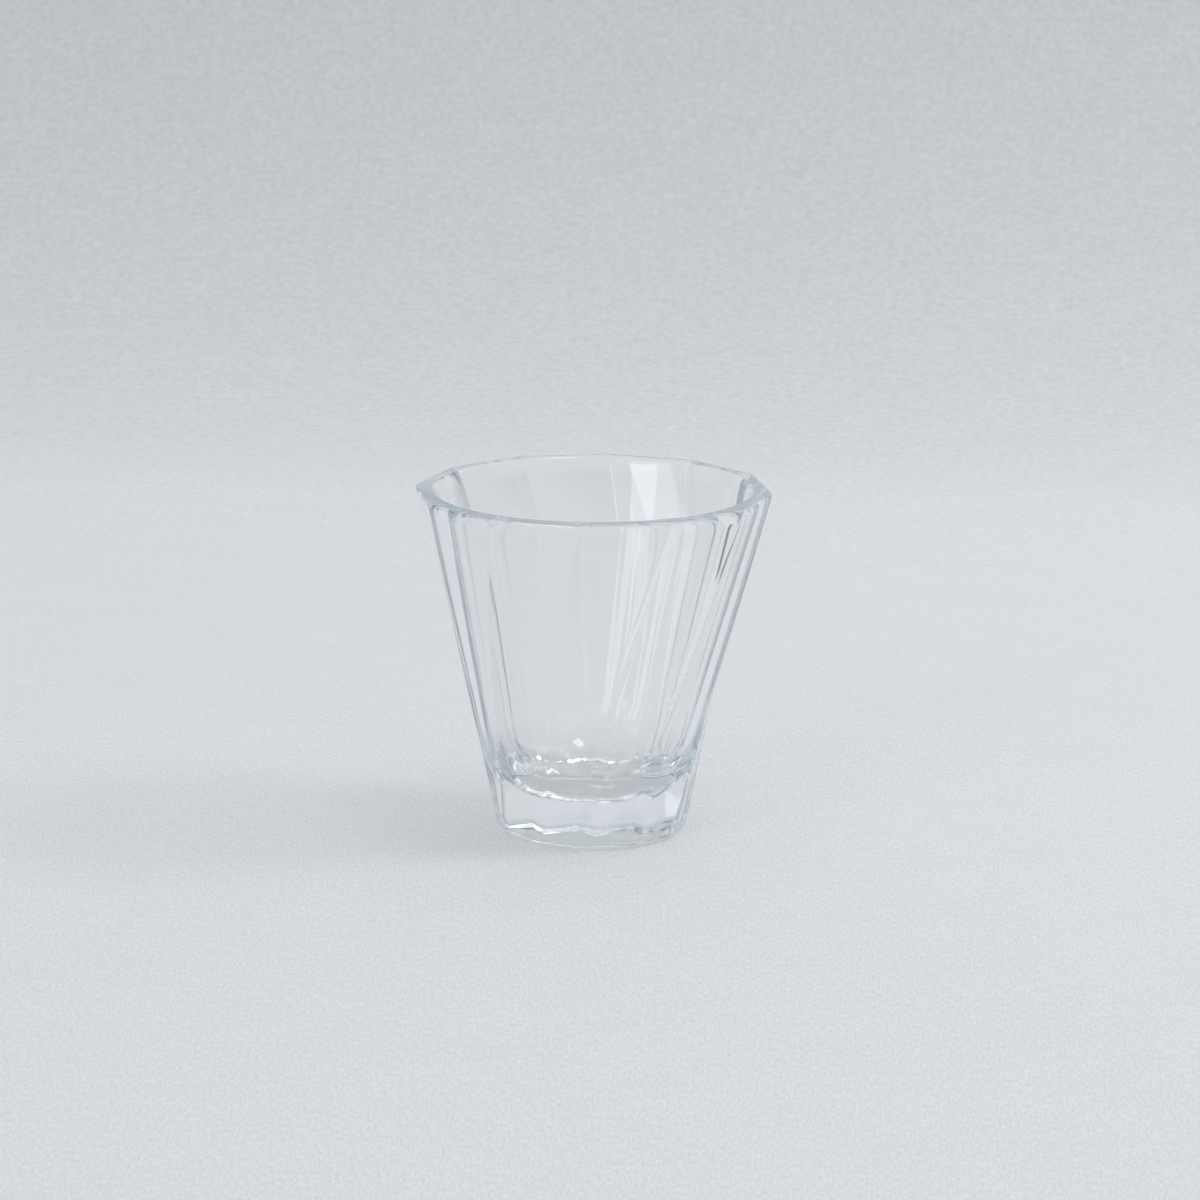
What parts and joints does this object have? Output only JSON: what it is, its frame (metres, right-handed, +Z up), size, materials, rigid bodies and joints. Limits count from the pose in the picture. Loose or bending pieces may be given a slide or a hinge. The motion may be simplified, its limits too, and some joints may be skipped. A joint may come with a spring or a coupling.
{
  "type": "drinking glass",
  "caption": "Clear pressed-glass tumbler with leaning flat facets, a wide polygonal rim, a round tapering inside and a thick base, for holding a milk coffee.",
  "frame": {"origin": "centre of the foot, on the surface that the glass stands on", "axes": "+Z up along the glass's axis; X and Y pass through opposite corners of the foot and of the rim; the picture looks along +Y from about 4.6 degrees round towards +X"},
  "size_m": [0.0868, 0.0868, 0.085],
  "materials": {
    "clear_glass": "clear colourless soda-lime glass, fire-polished gloss"
  },
  "bodies": {
    "root": {"tumbler": "clear_glass"}
  },
  "joints": []
}
